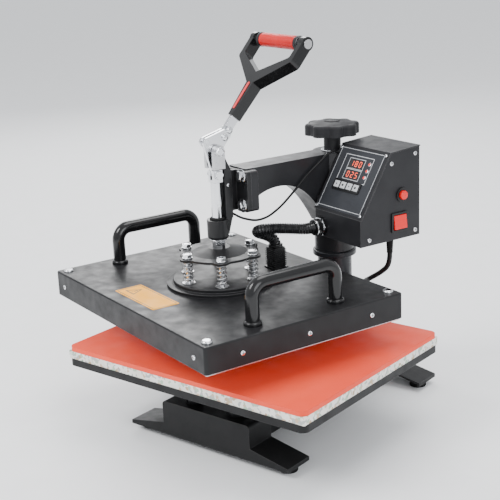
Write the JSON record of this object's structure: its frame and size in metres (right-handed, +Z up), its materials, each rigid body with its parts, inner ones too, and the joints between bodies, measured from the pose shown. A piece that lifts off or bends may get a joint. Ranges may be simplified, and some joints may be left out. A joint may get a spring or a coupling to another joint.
{
  "type": "heat press",
  "caption": "Swing-away flat heat press: padded bed on a folded base, post with pressure knob, swinging arm with lever toggle, sprung heated platen and control box.",
  "frame": {"origin": "on the floor under the middle of the bed", "axes": "+Z up, +Y to the rear towards the post, +X to the right"},
  "size_m": [0.4663, 0.5652, 0.4927],
  "materials": {
    "base_black": "satin black powder coat",
    "arm_black": "semi-gloss dark grey paint on a casting",
    "head_black": "semi-gloss black paint on a casting",
    "post_steel": "satin dark grey paint",
    "rubber": "matt black rubber",
    "foam": "cream bonded foam with coloured flecks",
    "silicone": "orange-red silicone sheet, satin",
    "chrome": "bright chrome plate",
    "steel": "ground steel",
    "platen_black": "satin black-grey paint",
    "aluminium": "machined aluminium",
    "insulation": "ceramic fibre blanket",
    "handle_black": "gloss black moulding",
    "grip_red": "red rubber sleeve",
    "inlay_red": "red inlay",
    "knob_grey": "matt dark grey moulding",
    "box_grey": "satin dark grey paint on folded sheet",
    "overlay": "printed polyester sheet, text left out",
    "display": "dark display window",
    "lamp": "red lamp lens",
    "button_light": "light grey key",
    "trim_black": "black trim moulding",
    "switch_red": "bright red translucent moulding",
    "cable": "black cable sheath",
    "label": "yellow-orange sticker, text left out"
  },
  "bodies": {
    "base": {"base_frame": "base_black", "rubber_feet": "rubber", "post": "post_steel", "post_bolts": "steel", "stop_collar": "post_steel", "bed_plate": "base_black", "bed_spacers": "head_black", "insulation_pad": "foam", "silicone_pad": "silicone", "mains_cord": "cable", "cord_coil": "cable", "mains_plug": "trim_black"},
    "lift": {"thrust_washer": "steel"},
    "knob": {"pressure_screw": "steel", "pressure_knob": "knob_grey"},
    "arm": {"arm": "arm_black", "head_bracket": "head_black", "bracket_bolts": "chrome", "yoke": "steel", "pivot_studs": "chrome", "control_box": "box_grey", "box_cover": "box_grey", "panel_overlay": "overlay", "displays": "display", "indicator_lamps": "lamp", "button_bezel": "trim_black", "switch_bezels": "trim_black", "conduit_gland": "trim_black", "conduit": "cable", "sensor_lead": "cable", "counter_sensor": "trim_black", "strain_relief": "rubber"},
    "reset": {"reset_button": "switch_red"},
    "rocker": {"power_rocker": "switch_red"},
    "button_1": {"panel_button_1": "button_light"},
    "button_2": {"panel_button_2": "button_light"},
    "button_3": {"panel_button_3": "button_light"},
    "button_4": {"panel_button_4": "button_light"},
    "lever": {"lever_bar": "chrome", "lever_fork": "chrome", "lever_rivets": "chrome", "handle_frame": "handle_black", "handle_inlay": "inlay_red", "grip_barrel": "grip_red", "grip_rod": "steel"},
    "link": {"link": "chrome"},
    "spindle": {"spindle": "chrome", "spindle_nuts": "chrome", "spring_plate": "platen_black", "link_pin": "chrome"},
    "platen": {"platen_cover": "platen_black", "heating_plate": "aluminium", "insulation_blanket": "insulation", "pressure_discs": "platen_black", "spring_bolts": "chrome", "springs": "steel", "corner_screws": "chrome", "side_handles": "handle_black", "terminal_box": "trim_black", "warning_label": "label"}
  },
  "joints": [
    {"name": "arm_lift", "type": "slide", "parent": "base", "child": "lift", "axis": [0, 0, 1], "range_m": [0, 0.01]},
    {"name": "pressure_knob", "type": "hinge", "parent": "lift", "child": "knob", "pos_m": [0, 0.189, 0.36], "axis": [0, 0, 1], "range_deg": [0, 1440]},
    {"name": "arm_swing", "type": "hinge", "parent": "lift", "child": "arm", "pos_m": [0, 0.189, 0.26], "axis": [0, 0, 1], "range_deg": [-73, 17.2]},
    {"name": "spindle_slide", "type": "slide", "parent": "arm", "child": "spindle", "axis": [0, 0, -1], "range_m": [0, 0.0309], "deforming": ["conduit"]},
    {"name": "lever_swing", "type": "hinge", "parent": "arm", "child": "lever", "pos_m": [-0.05589, 0.00845, 0.358], "axis": [0.9553, -0.2957, 0], "range_deg": [0, 134.04]},
    {"name": "link_swing", "type": "hinge", "parent": "spindle", "child": "link", "pos_m": [-0.05589, 0.00845, 0.327], "axis": [0.9553, -0.2957, 0], "range_deg": [-16.07, 0]},
    {"name": "platen_float", "type": "slide", "parent": "spindle", "child": "platen", "axis": [0, 0, 1], "range_m": [0, 0.003], "stiffness_N_per_m": 15000, "springref_m": -0.003, "deforming": ["springs"]},
    {"name": "power_switch", "type": "hinge", "parent": "arm", "child": "rocker", "pos_m": [0.11914, 0.16468, 0.2515], "axis": [0.2957, 0.9553, 0], "range_deg": [0, 12]},
    {"name": "reset_press", "type": "slide", "parent": "arm", "child": "reset", "axis": [-0.9553, 0.2957, 0], "range_m": [0, 0.0015], "stiffness_N_per_m": 400},
    {"name": "button_1_press", "type": "slide", "parent": "arm", "child": "button_1", "axis": [0.2512, 0.8115, -0.5276], "range_m": [0, 0.0008], "stiffness_N_per_m": 500},
    {"name": "button_2_press", "type": "slide", "parent": "arm", "child": "button_2", "axis": [0.2512, 0.8115, -0.5276], "range_m": [0, 0.0008], "stiffness_N_per_m": 500},
    {"name": "button_3_press", "type": "slide", "parent": "arm", "child": "button_3", "axis": [0.2512, 0.8115, -0.5276], "range_m": [0, 0.0008], "stiffness_N_per_m": 500},
    {"name": "button_4_press", "type": "slide", "parent": "arm", "child": "button_4", "axis": [0.2512, 0.8115, -0.5276], "range_m": [0, 0.0008], "stiffness_N_per_m": 500}
  ],
  "couplings": [
    {"joint": "pressure_knob", "follows": "arm_lift", "rad_per_m": 2513.2},
    {"joint": "lever_swing", "follows": "spindle_slide", "rad_per_m": 75.707},
    {"joint": "link_swing", "follows": "spindle_slide", "rad_per_m": -9.0706}
  ]
}
